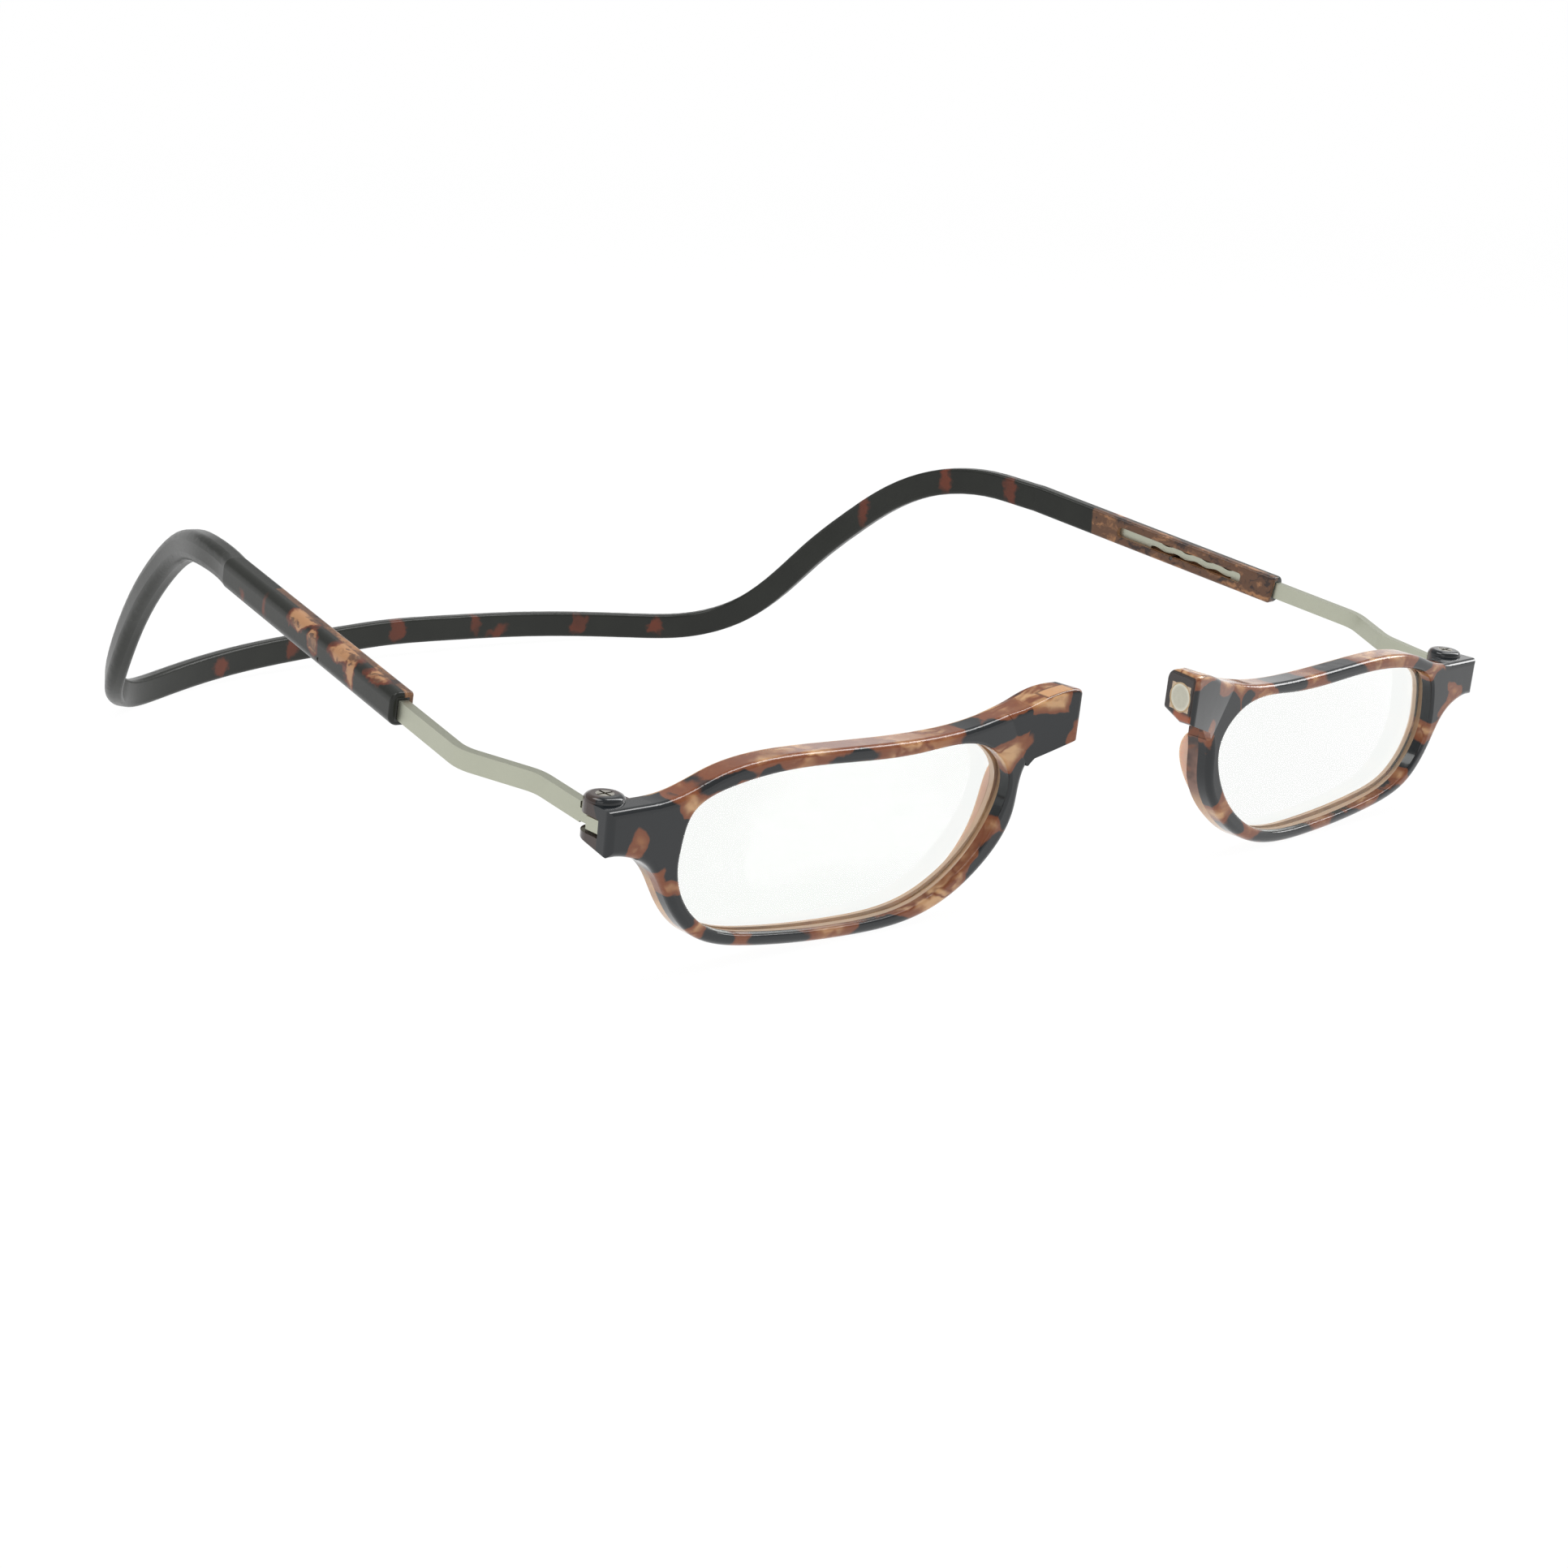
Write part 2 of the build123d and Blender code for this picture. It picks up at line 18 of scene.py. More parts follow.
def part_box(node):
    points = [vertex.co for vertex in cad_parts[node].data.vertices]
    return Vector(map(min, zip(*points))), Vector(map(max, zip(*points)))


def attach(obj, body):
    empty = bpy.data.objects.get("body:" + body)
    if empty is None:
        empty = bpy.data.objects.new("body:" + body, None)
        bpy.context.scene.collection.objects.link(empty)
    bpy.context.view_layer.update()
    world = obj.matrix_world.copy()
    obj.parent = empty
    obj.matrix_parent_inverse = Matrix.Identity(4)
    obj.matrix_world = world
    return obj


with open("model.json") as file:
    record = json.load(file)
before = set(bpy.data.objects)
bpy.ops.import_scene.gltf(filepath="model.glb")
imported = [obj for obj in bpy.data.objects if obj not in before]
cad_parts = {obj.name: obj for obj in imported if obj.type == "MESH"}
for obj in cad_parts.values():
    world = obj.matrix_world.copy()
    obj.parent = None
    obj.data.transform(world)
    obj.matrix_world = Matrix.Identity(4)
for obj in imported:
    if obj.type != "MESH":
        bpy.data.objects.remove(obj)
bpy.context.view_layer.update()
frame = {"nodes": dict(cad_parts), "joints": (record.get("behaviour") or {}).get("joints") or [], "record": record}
nodes = frame["nodes"]
joints = {joint["name"]: joint for joint in frame["joints"]}
millimetre = 0.001

# %% [markdown]
# ## The view
#
# The photograph looks down a little from the wearer's right, with a long lens. The place and the three
# turns of the camera were solved from points that both halves of the glasses share, because a mirrored
# pair of points fixes a camera well. They are plain values here, in metres and degrees.

# %% Camera
camera_place = (-0.25065, -0.28338, 0.09310)
camera_tilt = 75.687
camera_roll = -2.871
camera_heading = -42.490
camera_lens = 63.68
camera_sensor = 36.0
camera_reach = (0.01, 20.0)

camera_data = bpy.data.cameras.new("photo_camera")
camera_data.lens = camera_lens
camera_data.sensor_width = camera_sensor
camera_data.sensor_fit = "HORIZONTAL"
camera_data.clip_start, camera_data.clip_end = camera_reach
camera = bpy.data.objects.new("photo_camera", camera_data)
camera.location = camera_place
camera.rotation_euler = [math.radians(turn) for turn in (camera_tilt, camera_roll, camera_heading)]
bpy.context.scene.collection.objects.link(camera)
bpy.context.scene.camera = camera
print("camera at", [round(value, 3) for value in camera.location])

# %% [markdown]
# ## Surfaces from two parameters
#
# Every new mesh here is a grid of points. One parameter runs along the rows and one along the columns,
# and a formula gives the place of each point. Writing the whole grid as numpy arrays keeps the formula
# in one line and makes the mesh quickly. Where a row or column comes round to its start, the grid is
# closed by wrapping the index, so that no seam is left open.

# %% Grid to mesh
def grid_faces(rows, columns, wrap_rows=False, wrap_columns=False):
    """Four corners for each cell of a grid: (i, j), (i, j+1), (i+1, j+1), (i+1, j), with wrapped indices."""
    row, column = np.meshgrid(
        np.arange(rows if wrap_rows else rows - 1),
        np.arange(columns if wrap_columns else columns - 1),
        indexing="ij",
    )
    next_row, next_column = (row + 1) % rows, (column + 1) % columns
    corners = [row * columns + column, row * columns + next_column,
               next_row * columns + next_column, next_row * columns + column]
    return np.stack([corner.ravel() for corner in corners], axis=1)


def surface(name, points, wrap_rows=False, wrap_columns=False, material=None):
    """A mesh object from a (rows, columns, 3) array of points in metres, shaded smooth."""
    rows, columns, _ = points.shape
    mesh = bpy.data.meshes.new(name)
    faces = grid_faces(rows, columns, wrap_rows, wrap_columns)
    mesh.from_pydata(points.reshape(-1, 3).tolist(), [], faces.tolist())
    mesh.polygons.foreach_set("use_smooth", np.ones(len(mesh.polygons), bool))
    mesh.update()
    piece = bpy.data.objects.new(name, mesh)
    bpy.context.scene.collection.objects.link(piece)
    if material is not None:
        mesh.materials.append(material)
    print(name, len(mesh.polygons), "faces")
    return piece


# %% [markdown]
# ## A material's nodes in short words
#
# A procedural material is a small machine: coordinates go in, and colour, roughness and bumps come out.
# The helper below adds one node in one line. A value that is a socket is plugged in, and anything else
# is typed into the socket. All patterns are measured in millimetres, so every scale reads as a size.

# %% Material helper
class Finish:
    """A new material with one Principled shader, and a few words for adding nodes to it."""

    def __init__(self, name):
        self.material = bpy.data.materials.new(name)
        self.material.use_nodes = True
        self.tree = self.material.node_tree
        self.tree.nodes.clear()
        self.output = self.tree.nodes.new("ShaderNodeOutputMaterial")
        self.shader = self.tree.nodes.new("ShaderNodeBsdfPrincipled")
        self.tree.links.new(self.shader.outputs[0], self.output.inputs["Surface"])
        place = self.tree.nodes.new("ShaderNodeTexCoord").outputs["Object"]
        self.point = self.vector("SCALE", place, Scale=1 / millimetre)

    def plug(self, socket, value):
        """Links a socket to a socket, or types a plain value into it."""
        if isinstance(value, bpy.types.NodeSocket):
            self.tree.links.new(value, socket)
        else:
            socket.default_value = value

    def node(self, kind, plugs, **fields):
        """Adds one node, sets its fields, then plugs its sockets by name or number."""
        made = self.tree.nodes.new("ShaderNode" + kind)
        for field, value in fields.items():
            setattr(made, field, value)
        for socket, value in plugs.items():
            self.plug(made.inputs[socket], value)
        return made

    def math(self, operation, first, second=0.0, third=0.0):
        """One sum, product or comparison of numbers."""
        return self.node("Math", {0: first, 1: second, 2: third}, operation=operation).outputs[0]

    def vector(self, operation, first, second=(0, 0, 0), **named):
        """One sum, product or stretch of vectors."""
        made = self.node("VectorMath", {0: first, 1: second, **named}, operation=operation)
        return made.outputs["Value" if operation in ("LENGTH", "DOT_PRODUCT") else "Vector"]

    def parts(self, point):
        """The X, Y and Z of a point, as three numbers."""
        split = self.node("SeparateXYZ", {0: point}).outputs
        return split["X"], split["Y"], split["Z"]

    def fade(self, value, start, end):
        """0 at start and before it, 1 at end and after it, and a smooth rise between them."""
        plugs = {"Value": value, "From Min": start, "From Max": end}
        return self.node("MapRange", plugs, interpolation_type="SMOOTHSTEP").outputs["Result"]

    def above(self, value, edge, soft):
        """1 where the value is above the edge and 0 below it, with a step that is soft on both sides."""
        return self.fade(value, edge - soft, edge + soft)

    def noise(self, point, size, detail=2.0, rough=0.5, output="Fac"):
        """Cloudy noise from 0 to 1 whose lumps are about size millimetres across."""
        plugs = {"Vector": point, "Scale": 1 / size, "Detail": detail, "Roughness": rough}
        return self.node("TexNoise", plugs).outputs[output]

    def blend(self, share, first, second):
        """A colour between two colours."""
        mix = self.node("Mix", {0: share, 6: first, 7: second}, data_type="RGBA")
        return mix.outputs[2]

    def local(self, point, centre, turn=(0, 0, 0), size=(1, 1, 1)):
        """The point as seen from a centre, turned and stretched: size becomes 1."""
        plugs = {"Vector": point, "Location": centre, "Rotation": turn, "Scale": size}
        return self.node("Mapping", plugs, vector_type="TEXTURE").outputs["Vector"]

    def bump(self, height, depth):
        """Lifts the shading by a height from 0 to 1 that is depth millimetres tall."""
        plugs = {"Height": height, "Strength": 1.0, "Distance": depth * millimetre}
        self.plug(self.shader.inputs["Normal"], self.node("Bump", plugs).outputs["Normal"])

    def set(self, **sockets):
        """Sets shader sockets: base_color=... is the socket Base Color."""
        for name, value in sockets.items():
            words = name.replace("_", " ")
            socket = next(one for one in self.shader.inputs if one.name.lower() == words)
            self.plug(socket, value)

    def done(self):
        """The finished material, after a line that says how many nodes it took."""
        print(self.material.name, len(self.tree.nodes), "nodes")
        return self.material


def shade(red, green, blue):
    """A colour as seen on a screen, 0 to 255, turned into the light values that a shader wants."""
    screen = np.array([red, green, blue]) / 255
    light = np.where(screen <= 0.04045, screen / 12.92, ((screen + 0.055) / 1.055) ** 2.4)
    return (*light.tolist(), 1.0)


# %% [markdown]
# ## Studio
#
# The photograph was taken on white that shows no shadow and no horizon. A photographer gets this with a
# light table: the sheet under the object glows as brightly as the wall behind it. Here the sheet is a
# bowl, a flat disc whose edge curves up, the same from every side, because the glasses are looked at
# from all round. The bowl shines evenly, and three soft panels add the highlights on edges and metal.

# %% Bowl-shaped backdrop
paper_glow = 0.97


def studio_bowl(flat_radius=2.5, bend_radius=0.9, wall_height=0.3, bend_rows=36, columns=96):
    """The profile goes out along the floor, round a quarter circle and up, and is spun about Z.

    On the bend, radius = flat_radius + bend_radius * sin(angle) and height = bend_radius * (1 - cos(angle)).
    """
    floor_radii = [0.0, 0.6, flat_radius]
    angle = np.linspace(0, np.pi / 2, bend_rows)[1:]
    radius = np.concatenate([floor_radii, flat_radius + bend_radius * np.sin(angle)])
    height = np.concatenate([np.zeros(len(floor_radii)), bend_radius * (1 - np.cos(angle))])
    radius, height = np.append(radius, radius[-1]), np.append(height, wall_height + bend_radius)
    spin = np.linspace(0, 2 * np.pi, columns, endpoint=False)
    flat = np.stack([np.cos(spin), np.sin(spin)], axis=1)
    points = np.empty((len(radius), columns, 3))
    points[:, :, :2] = radius[:, None, None] * flat[None]
    points[:, :, 2] = height[:, None]
    return points


paper = Finish("backdrop_paper")
paper.set(base_color=shade(60, 60, 60), roughness=0.9, specular_ior_level=0.0,
          emission_color=(1.0, 1.0, 1.0, 1.0), emission_strength=paper_glow)
backdrop = surface("backdrop", studio_bowl(), wrap_columns=True, material=paper.done())

# %% Lights and surroundings
# Each panel's place and its width and height in metres, then its power in watts.
panels = {
    "edge_panel": ((0.45, -0.1, 0.62), (0.22, 0.9), 4.5),
    "overhead_panel": ((-0.3, 0.1, 0.8), (0.5, 0.3), 2.0),
    "front_panel": ((-0.9, -0.5, 0.7), (0.6, 0.6), 1.0),
}
air_glow = 0.5


def soft_panel(name, place, size, power):
    """An oblong area light that looks at the origin."""
    light = bpy.data.lights.new(name, "AREA")
    light.shape, light.energy = "RECTANGLE", power
    light.size, light.size_y = size
    panel = bpy.data.objects.new(name, light)
    panel.location = place
    panel.rotation_euler = (-Vector(place)).to_track_quat("-Z", "Y").to_euler()
    bpy.context.scene.collection.objects.link(panel)


for name, panel in panels.items():
    soft_panel(name, *panel)
world = bpy.data.worlds.new("studio_air")
world.use_nodes = True
world.node_tree.nodes["Background"].inputs["Color"].default_value = (1.0, 1.0, 1.0, 1.0)
world.node_tree.nodes["Background"].inputs["Strength"].default_value = air_glow
bpy.context.scene.world = world
bpy.context.scene.view_settings.view_transform = "Standard"
print("lights:", list(panels))

# %% [markdown]
# ## Tortoise fronts
#
# The front is cut from a sheet that is pressed from two layers. The front layer is clear brown with
# near-black patches in it, 1.3 mm thick at the foot and 2.4 mm at the brow. The rear layer is plain,
# translucent tan. So the pattern belongs to the sheet: it depends on where a point is along and up the
# front, and on how deep it lies. Both rims lean back alike and each opens by its own angle, so a point is
# first measured from its hinge, along, into and up the sheet.

# %% Where the sheet lies
stand_pitch = 4.0
front_opening = {"left": -1.0, "right": 3.0}


def sheet_turn(side):
    """How the sheet stands, in degrees: swung open about Z by the side's angle, then leant about X."""
    lean = Matrix.Rotation(math.radians(stand_pitch), 3, "X")
    return lean @ Matrix.Rotation(math.radians(front_opening[side]), 3, "Z")


def sheet_point(finish, side):
    """The point seen from the side's hinge: X along the front, Y into the sheet, Z up, in millimetres."""
    hinge = Vector(joints[side + "_front_hinge"]["pos_m"]) / millimetre
    return finish.local(finish.point, hinge, sheet_turn(side).to_euler("XYZ"))


print("fronts open by", front_opening, "degrees")

# %% [markdown]
# ### Patches
#
# A flat image of the pattern would be stretched on the edges of the rim. A distance works on every face
# alike: the colour changes where the distance to the nearest oval passes zero. Noise moves the point
# before the distance is taken, which frays the edge of a patch and leaves the patch in its place. These
# places are given one by one in a list for each rim, because a patch is only a few millimetres long.

# %% Ovals and ragged edges
def outside(finish, point, patches):
    """About how many millimetres the point is outside the nearest oval. Inside one it is below zero."""
    nearest = 100.0
    for centre, halves, turn in patches:
        seen = finish.local(point, centre, (0, math.radians(turn), 0), halves)
        away = finish.math("MULTIPLY_ADD", finish.vector("LENGTH", seen), min(halves), -min(halves))
        nearest = finish.math("MINIMUM", nearest, away)
    return nearest


def pushed(finish, point, size, reach):
    """The point moved by up to half of reach in each direction, by noise of that size."""
    lumps = finish.noise(point, size, output="Color")
    wander = finish.vector("SUBTRACT", lumps, (0.5, 0.5, 0.5))
    return finish.vector("ADD", point, finish.vector("SCALE", wander, Scale=reach))


def through_sheet(rows, through=50.0):
    """Ovals seen from the front that go straight through the sheet.

    Each row holds along, up, half of the length, half of the height and the turn in degrees.
    """
    return [((along, 0.0, up), (half_along, through, half_up), turn)
            for along, up, half_along, half_up, turn in rows]


# %% Where the dark patches are
dark_patches = {
    "left": through_sheet([
        # end piece and outer corner
        (1.0, -0.6, 7.2, 5.2, 8), (7.2, -3.2, 2.0, 4.6, 0), (7.8, -10.4, 2.6, 2.5, 50),
        # foot
        (14.0, -14.2, 2.6, 1.3, 18), (22.8, -15.8, 4.4, 1.4, 7),
        (38.4, -17.2, 4.8, 1.4, 0), (54.2, -11.4, 4.3, 1.6, -50),
        # nose side and lug
        (57.7, -3.8, 1.9, 4.4, 12), (63.6, 2.6, 4.9, 6.4, -14), (60.0, -0.2, 1.5, 3.4, 10),
        # brow
        (52.6, 4.1, 4.9, 1.6, -3), (58.0, 4.9, 2.2, 1.3, -10), (31.4, 3.9, 3.9, 0.8, 0),
        (19.4, 3.8, 2.0, 0.8, 0), (13.4, 3.5, 3.9, 0.85, -7), (8.6, 3.9, 2.0, 0.7, -20),
    ]),
    "right": through_sheet([
        # lug and nose side
        (-62.3, 4.6, 5.4, 5.6, 0), (-57.0, 2.0, 2.6, 3.2, 35), (-56.9, -5.2, 2.2, 8.2, 6),
        (-56.4, -1.8, 2.6, 3.6, 0),
        # foot
        (-51.2, -13.2, 2.2, 1.2, 40), (-39.8, -16.3, 7.2, 1.1, 3),
        (-15.6, -15.3, 4.3, 1.4, -14), (-25.0, -16.6, 4.0, 1.1, 0),
        # outer corner and end piece
        (-8.3, -10.8, 2.0, 3.7, 42), (-6.9, -1.8, 2.6, 3.8, 0), (-0.5, 0.9, 5.6, 4.0, 15),
        # brow
        (-43.4, 4.3, 3.6, 1.5, 0), (-30.5, 4.2, 4.9, 1.3, 0), (-11.4, 3.4, 3.0, 1.5, -14),
        (-52.4, 3.2, 1.6, 1.8, 30),
    ]),
}
rust_spots = {
    "left": through_sheet([
        (1.6, -1.8, 0.8, 1.5, 12), (7.2, -7.4, 2.6, 0.45, -6), (8.8, 1.6, 1.7, 1.2, 40),
        (56.3, 0.7, 0.9, 3.0, 52), (65.0, 2.9, 0.35, 1.0, 15),
    ]),
    "right": through_sheet([
        (-57.6, 6.5, 2.2, 1.5, 0), (-60.0, 0.4, 0.6, 0.9, 0), (-60.4, -4.6, 0.5, 2.6, 0),
        (-2.6, -1.6, 1.7, 0.8, 35), (-4.4, -4.0, 1.2, 0.7, -20), (-48.6, 3.0, 2.4, 1.1, 0),
    ]),
}
for side in ("left", "right"):
    print(side, "front:", len(dark_patches[side]), "dark patches,", len(rust_spots[side]), "rust spots")

# %% [markdown]
# ### Two layers
#
# On the cut edges of the rim the layers show as two stripes, a dark or amber one in front and a tan one
# behind. The rim is one solid, so the depth of a point decides which layer it is in. Folds and veins come
# from noise that is drawn out along the sheet, as the colours are when the sheet is pressed.

# %% Tortoise colours
charcoal = shade(22, 26, 29)
rust = shade(122, 66, 36)
amber = shade(156, 104, 64)
pale_tan = shade(198, 157, 114)
rear_tan = shade(176, 136, 102)
umber = shade(58, 45, 41)
# Brown of the nasal wall: partly the front layer showing through, partly painted shade.
nose_brown_and_shade = shade(124, 92, 80)
end_rust = shade(150, 80, 48)
insert_amber = shade(200, 152, 108)
insert_outline = shade(92, 54, 36)
print("amber as light values:", [round(value, 3) for value in amber[:3]])

# %% A rim's place in the sheet
lug_begins = 58.5
lug_softness = 0.5
large_push = (3.2, 2.0)
small_push = (0.8, 0.3)
fold_stretch = (0.4, 1.0, 1.0)
fold_size = 2.2
vein_size = 3.0


class RimFinish(Finish):
    """The finish of one rim. It knows each point's place in the sheet, exact and with ragged edges."""

    def __init__(self, side):
        super().__init__(side + "_tortoise_front")
        self.side = side
        self.sheet = sheet_point(self, side)
        x, self.depth, self.up = self.parts(self.sheet)
        self.along = self.math("ABSOLUTE", x)
        self.ragged = pushed(self, pushed(self, self.sheet, *large_push), *small_push)
        x, self.ragged_depth, self.ragged_up = self.parts(self.ragged)
        self.ragged_along = self.math("ABSOLUTE", x)
        self.on_lug = self.above(self.ragged_along, lug_begins, lug_softness)

        long_folds = self.vector("MULTIPLY", self.ragged, fold_stretch)
        self.folds = self.noise(long_folds, fold_size)
        from_middle = self.math("SUBTRACT", self.noise(long_folds, vein_size), 0.5)
        self.veins = self.math("ABSOLUTE", from_middle)


# %% Front layer
patch_softness = 0.12
rust_reach = (0.15, 1.1)
spot_margin = 0.3
pale_fold = (0.43, 0.6)
vein_width = 0.09
lug_amber = {"left": (5.5, 64.3), "right": (7.1, 66.5)}
far_away = 30.0


def patch_gap(finish):
    """How far a point is outside the dark patches, where rust spots and the lug's clear top push them back.

    The lug's top is clear above a height and before an end, and only on the lug.
    """
    gap = outside(finish, finish.ragged, dark_patches[finish.side])
    spot = outside(finish, finish.ragged, rust_spots[finish.side])
    gap = finish.math("MAXIMUM", gap, finish.math("SUBTRACT", spot_margin, spot))
    lowest, furthest = lug_amber[finish.side]
    before_end = finish.math("SUBTRACT", furthest, finish.ragged_along)
    over_low = finish.math("SUBTRACT", finish.ragged_up, lowest)
    off_lug = finish.math("MULTIPLY_ADD", finish.on_lug, -far_away, far_away)
    clear_top = finish.math("SUBTRACT", finish.math("MINIMUM", before_end, over_low), off_lug)
    return finish.math("MAXIMUM", gap, clear_top)


def front_layer(finish, gap):
    """Charcoal patches with rust edges, in amber with paler folds and a few rust veins."""
    glow = finish.blend(finish.fade(finish.folds, *pale_fold), amber, pale_tan)
    glow = finish.blend(finish.fade(finish.veins, vein_width, 0.0), glow, rust)
    edged = finish.blend(finish.fade(gap, *rust_reach), rust, glow)
    return finish.blend(finish.above(gap, 0.0, patch_softness), charcoal, edged)


# %% Rear layer
sheet_front = -3.3
layer_at_foot = 1.3
layer_at_brow = 2.4
brow_rise = (0.0, 3.0)
layer_more_at_hinge = {"left": 0.0, "right": 1.9}
hinge_side = (13.5, 10.5)
layer_softness = 0.08
nose_side, nose_softness = 56.6, 1.2
end_pieces, end_piece_softness = 5.0, 1.0
rear_fold = (0.35, 0.62)
lug_fold = (0.45, 0.6)


def behind_front_layer(finish):
    """1 in the rear layer. The layers meet deeper at the brow, and on the right near the hinge."""
    brow = finish.fade(finish.up, *brow_rise)
    layer = finish.math("MULTIPLY_ADD", brow, layer_at_brow - layer_at_foot, layer_at_foot)
    near_hinge = finish.fade(finish.along, *hinge_side)
    layer = finish.math("MULTIPLY_ADD", near_hinge, layer_more_at_hinge[finish.side], layer)
    into_sheet = finish.math("SUBTRACT", finish.depth, sheet_front)
    return finish.above(finish.math("SUBTRACT", into_sheet, layer), 0.0, layer_softness)


def rear_layer(finish):
    """Translucent tan, browner towards the nose, where the brown is partly the front layer showing through and
    partly painted shade on the nasal wall, and umber on the lug and the end piece.
    """
    rear = finish.blend(finish.fade(finish.folds, *rear_fold), rear_tan, pale_tan)
    # Browner towards the nose: partly painted shade on the nasal wall.
    rear = finish.blend(finish.above(finish.along, nose_side, nose_softness), rear, nose_brown_and_shade)
    lug = finish.blend(finish.fade(finish.folds, *lug_fold), umber, rust)
    rear = finish.blend(finish.on_lug, rear, lug)
    past_end_piece = finish.above(finish.ragged_along, end_pieces, end_piece_softness)
    return finish.blend(past_end_piece, umber, rear)


# %% [markdown]
# ### The lug at the nose
#
# Each lug is solid round a small insert that holds the magnet. Its top is clear enough for the insert to
# show as a pale oblong with a thin dark outline. Making the plastic there truly see-through would also
# show the hollow inside, so the oblong is drawn on the top by its own distance. The end of the lug is cut
# on a slant through both layers and keeps the dark colours of its middle.

# %% The lug's top and end
insert_middle = (62.9, -3.75)
insert_half = (1.8, 1.05)
insert_shows, insert_softness = 6.0, 0.15
insert_edge = 0.05
outline_fade = (0.22, 0.08)
outline_strength = 0.75
lug_front_slope = 0.19
lug_end_slant = 12.0
lug_end_reach = 63.59
end_depth, end_softness = 0.12, 0.06
end_rust_below = (3.6, 3.0)
end_rust_before = (-1.8, -2.4)


def with_insert(finish, colour):
    """The colour with the magnet's insert and its outline, an oblong that shows through the lug's top.

    Margin is how far a point is outside the oblong: the larger of |x| - half length, |y| - half width.
    """
    off_along = finish.math("SUBTRACT", finish.along, insert_middle[0])
    off_front = finish.math("SUBTRACT", finish.depth, insert_middle[1])
    off_front = finish.math("MULTIPLY_ADD", off_along, lug_front_slope, off_front)
    past_ends = finish.math("SUBTRACT", finish.math("ABSOLUTE", off_along), insert_half[0])
    past_sides = finish.math("SUBTRACT", finish.math("ABSOLUTE", off_front), insert_half[1])
    margin = finish.math("MAXIMUM", past_ends, past_sides)
    on_top = finish.math("MULTIPLY", finish.on_lug, finish.above(finish.up, insert_shows, insert_softness))
    inside = finish.math("MULTIPLY", on_top, finish.fade(margin, insert_edge, -insert_edge))
    near_edge = finish.fade(finish.math("ABSOLUTE", margin), *outline_fade)
    outline = finish.math("MULTIPLY", finish.math("MULTIPLY", on_top, near_edge), outline_strength)
    return finish.blend(outline, finish.blend(inside, colour, insert_amber), insert_outline)


def end_face(finish):
    """Where the slanting end of the lug is, and its colour: charcoal and umber, with rust at its foot.

    Reach, along * cos(slant) + depth * sin(slant), is equal all over the end, whatever the depth.
    """
    slant = math.radians(lug_end_slant)
    reach = finish.math("ADD", finish.math("MULTIPLY", finish.along, math.cos(slant)),
                        finish.math("MULTIPLY", finish.depth, math.sin(slant)))
    at_end = finish.above(reach, lug_end_reach - end_depth, end_softness)
    low = finish.fade(finish.ragged_up, *end_rust_below)
    to_front = finish.fade(finish.ragged_depth, *end_rust_before)
    dark = finish.blend(finish.folds, charcoal, umber)
    return at_end, finish.blend(finish.math("MULTIPLY", low, to_front), dark, end_rust)


# %% Tortoise sheet
scuff_stretch = (1.0, 1.0, 6.0)
scuff_size = 0.5
scuff_fade = (0.5, 0.8)
polish, scuffed = 0.12, 0.1
clear_within = 0.8
soak_share = 0.25
acetate_ior = 1.49


def tortoise_front(side):
    """Both layers, what shows in the lug, a polish with faint scuffs, and light that soaks into the tan."""
    finish = RimFinish(side)
    gap = patch_gap(finish)
    colour = finish.blend(behind_front_layer(finish), front_layer(finish, gap), rear_layer(finish))
    at_end, end_colour = end_face(finish)
    colour = finish.blend(at_end, with_insert(finish, colour), end_colour)

    off_end = finish.math("SUBTRACT", 1.0, at_end)
    clear = finish.math("MULTIPLY", finish.fade(gap, 0.0, clear_within), off_end)
    scuffs = finish.noise(finish.vector("MULTIPLY", finish.sheet, scuff_stretch), scuff_size, 5.0, 0.7)
    finish.set(base_color=colour, specular_ior_level=0.35,
               roughness=finish.math("MULTIPLY_ADD", finish.fade(scuffs, *scuff_fade), scuffed, polish),
               subsurface_weight=finish.math("MULTIPLY", clear, soak_share), subsurface_scale=millimetre,
               subsurface_radius=(1.4, 0.7, 0.4), coat_weight=0.4, coat_roughness=0.04, ior=acetate_ior)
    finish.bump(finish.noise(finish.sheet, 2.5, 1.0), 0.02)
    return finish.done()


# %% [markdown]
# ## The band
#
# The band is moulded from the same mixture with far more black in it, and buffed to satin. A few
# rust and tan flecks show. At each mouth, the inner half of the hollow temple is brown as far as the
# straight joint where the dark strap begins. The left and right ends are alike, so the pattern there is
# worked out from the size of X, and only the flecks differ.

# %% Band colours and flecks
band_charcoal = shade(22, 24, 21)
band_sheen = shade(36, 38, 33)
band_rust = shade(104, 50, 32)
band_tan = shade(176, 130, 92)
band_brown = shade(97, 69, 52)
band_streak = shade(158, 114, 80)

# Each fleck is an oval: its centre, its half sizes and its turn in degrees.
band_rust_flecks = [
    ((0.9, 76.2, 4.7), (1.4, 5.0, 2.0), 20), ((15.7, 75.5, 4.1), (1.0, 5.0, 1.6), 0),
    ((20.1, 75.3, 2.7), (2.0, 5.0, 0.8), -10), ((34.7, 72.5, 2.8), (1.5, 5.0, 1.7), 30),
    ((47.4, 67.7, 2.2), (1.2, 4.0, 1.4), -30), ((-19.6, 75.3, 3.4), (1.2, 4.0, 1.4), 0),
    ((-33.7, 72.8, 2.8), (1.5, 4.0, 1.2), 0), ((64.4, 36.3, 25.5), (3.0, 0.9, 2.4), 0),
    ((67.7, 21.6, 32.4), (3.0, 1.0, 2.4), 0), ((70.2, 9.8, 31.8), (3.0, 1.1, 2.4), 0),
    ((-74.7, 0.5, 29.8), (3.0, 0.6, 0.9), 0), ((-75.0, -5.7, 29.2), (3.0, 0.6, 1.1), 0),
]
